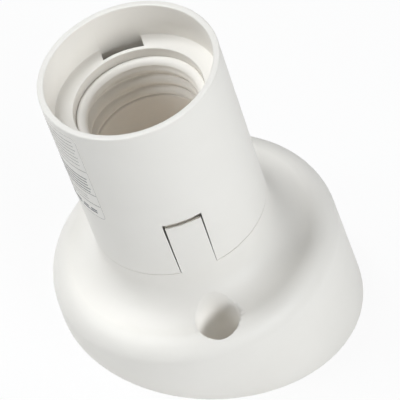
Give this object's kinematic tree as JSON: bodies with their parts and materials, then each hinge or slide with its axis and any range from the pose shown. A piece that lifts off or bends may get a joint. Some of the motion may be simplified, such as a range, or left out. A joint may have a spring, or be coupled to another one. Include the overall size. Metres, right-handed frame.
{
  "type": "angled screw lamp socket",
  "caption": "Wall-mounted lamp socket: a bell-shaped plastic base carries a tubular sleeve on a leaning axis, with a round lamp thread, sprung contacts and wire terminals inside.",
  "frame": {"origin": "midway between the two wall screw holes, where the socket's leaning axis meets the wall plane", "axes": "+Z out of the wall, the socket's axis leans from +Z towards -X, and the wall screws lie along Y"},
  "size_m": [0.0743, 0.0676, 0.0773],
  "materials": {
    "white_plastic": "satin moulded white",
    "insert_plastic": "satin moulded white",
    "carrier_plastic": "matt moulded off-white",
    "bronze": "rolled spring bronze",
    "brass": "machined brass",
    "steel": "zinc-plated steel"
  },
  "bodies": {
    "base": {"base_housing": "white_plastic", "thread_insert": "insert_plastic", "contact_carrier": "carrier_plastic", "centre_contact": "bronze", "shell_contact": "bronze", "live_terminal": "brass", "neutral_terminal": "brass", "centre_rivet": "brass", "shell_rivet": "brass", "carrier_screw_right": "steel", "carrier_screw_left": "steel"},
    "sleeve": {"sleeve": "white_plastic"},
    "live_screw": {"live_terminal_screw": "steel"},
    "neutral_screw": {"neutral_terminal_screw": "steel"}
  },
  "joints": [
    {"name": "sleeve_pull", "type": "slide", "parent": "base", "child": "sleeve", "axis": [-0.2639, 0, 0.9646], "range_m": [0, 0.036]},
    {"name": "live_screw_turn", "type": "hinge", "parent": "base", "child": "live_screw", "pos_m": [0.00379, 0, 0.03618], "axis": [0.9646, 0, 0.2639], "range_deg": [-720, 0]},
    {"name": "neutral_screw_turn", "type": "hinge", "parent": "base", "child": "neutral_screw", "pos_m": [-0.02168, 0, 0.02922], "axis": [-0.9646, 0, -0.2639], "range_deg": [-720, 0]}
  ]
}
